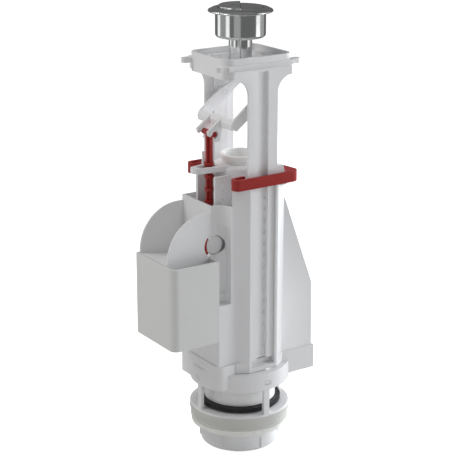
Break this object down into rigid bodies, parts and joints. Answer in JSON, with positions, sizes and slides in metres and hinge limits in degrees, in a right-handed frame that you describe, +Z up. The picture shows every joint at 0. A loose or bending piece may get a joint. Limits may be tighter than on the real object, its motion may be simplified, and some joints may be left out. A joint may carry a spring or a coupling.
{
  "type": "toilet flush valve",
  "caption": "Dual-flush cistern outlet valve with a lid push button, rocker and pull rod, side cup, overflow tube and height-adjustable bridge.",
  "frame": {"origin": "valve axis at the open lower end of the outlet spigot", "axes": "+Z up along the valve axis, -X towards the side cup, -Y towards the front leg of the bridge"},
  "size_m": [0.1255, 0.076, 0.3337],
  "materials": {
    "white_plastic": "moulded, slightly glossy",
    "red_plastic": "moulded, glossy",
    "white_rubber": "soft, satin",
    "black_rubber": "soft, satin",
    "chrome": "polished",
    "spring_steel": "drawn wire"
  },
  "bodies": {
    "root": {"outlet_spigot": "white_plastic", "cistern_seal": "white_rubber", "valve_basket": "white_plastic", "base_skirt": "white_plastic", "housing_shell": "white_plastic", "side_cup": "white_plastic", "chamber_walls": "white_plastic", "rod_guide": "white_plastic"},
    "volume_clip": {"volume_clip": "red_plastic"},
    "front_clamp": {"front_clamp": "red_plastic"},
    "rear_clamp": {"rear_clamp": "red_plastic"},
    "lift": {"overflow_tube": "white_plastic", "lift_bracket": "white_plastic", "valve_plate": "white_plastic", "valve_seal": "black_rubber", "seal_retainer": "white_plastic", "main_float": "white_plastic"},
    "side_float": {"side_float": "white_plastic"},
    "bridge": {"bridge": "white_plastic", "pivot_pins": "white_plastic"},
    "rocker": {"rocker": "white_plastic"},
    "pull_rod": {"pull_rod": "red_plastic"},
    "push_plate": {"push_plate": "white_plastic"},
    "button": {"button_body": "chrome", "large_spring": "spring_steel", "small_spring": "spring_steel"},
    "large_button": {"large_button": "chrome", "large_plunger": "chrome"},
    "small_button": {"small_button": "chrome", "small_plunger": "chrome"}
  },
  "joints": [
    {"name": "volume_clip_turn", "type": "hinge", "parent": "root", "child": "volume_clip", "pos_m": [-0.0315, -0.0133, 0.1646], "axis": [0, 1, 0], "range_deg": [-12, 12]},
    {"name": "front_clamp_pull", "type": "slide", "parent": "root", "child": "front_clamp", "axis": [0, -1, 0], "range_m": [0, 0.008]},
    {"name": "rear_clamp_pull", "type": "slide", "parent": "root", "child": "rear_clamp", "axis": [0, 1, 0], "range_m": [0, 0.008]},
    {"name": "valve_lift", "type": "slide", "parent": "root", "child": "lift", "axis": [0, 0, 1], "range_m": [0, 0.007]},
    {"name": "side_float_rise", "type": "slide", "parent": "root", "child": "side_float", "axis": [0, 0, 1], "range_m": [0, 0.01]},
    {"name": "bridge_height", "type": "slide", "parent": "root", "child": "bridge", "axis": [0, 0, 1], "range_m": [0, 0.0528]},
    {"name": "rocker_turn", "type": "hinge", "parent": "bridge", "child": "rocker", "pos_m": [0, 0, 0.267], "axis": [0, 1, 0], "range_deg": [0, 18]},
    {"name": "pull_rod_swing", "type": "hinge", "parent": "rocker", "child": "pull_rod", "pos_m": [-0.0269, 0, 0.2441], "axis": [0, 1, 0], "range_deg": [-18, 0]},
    {"name": "push_plate_travel", "type": "slide", "parent": "bridge", "child": "push_plate", "axis": [0, 0, -1], "range_m": [0, 0.0044]},
    {"name": "button_lift_off", "type": "slide", "parent": "bridge", "child": "button", "axis": [0, 0, 1], "range_m": [0, 0.04]},
    {"name": "large_button_press", "type": "slide", "parent": "button", "child": "large_button", "axis": [0, 0, -1], "range_m": [0, 0.0044], "stiffness_N_per_m": 400, "springref_m": -0.003, "deforming": ["large_spring"]},
    {"name": "small_button_press", "type": "slide", "parent": "button", "child": "small_button", "axis": [0, 0, -1], "range_m": [0, 0.0044], "stiffness_N_per_m": 400, "springref_m": -0.003, "deforming": ["small_spring"]}
  ],
  "couplings": [
    {"joint": "rocker_turn", "follows": "large_button_press", "rad_per_m": 71.393},
    {"joint": "pull_rod_swing", "follows": "large_button_press", "rad_per_m": -71.393},
    {"joint": "push_plate_travel", "follows": "large_button_press", "ratio": 1},
    {"joint": "valve_lift", "follows": "large_button_press", "ratio": 1.5907}
  ]
}
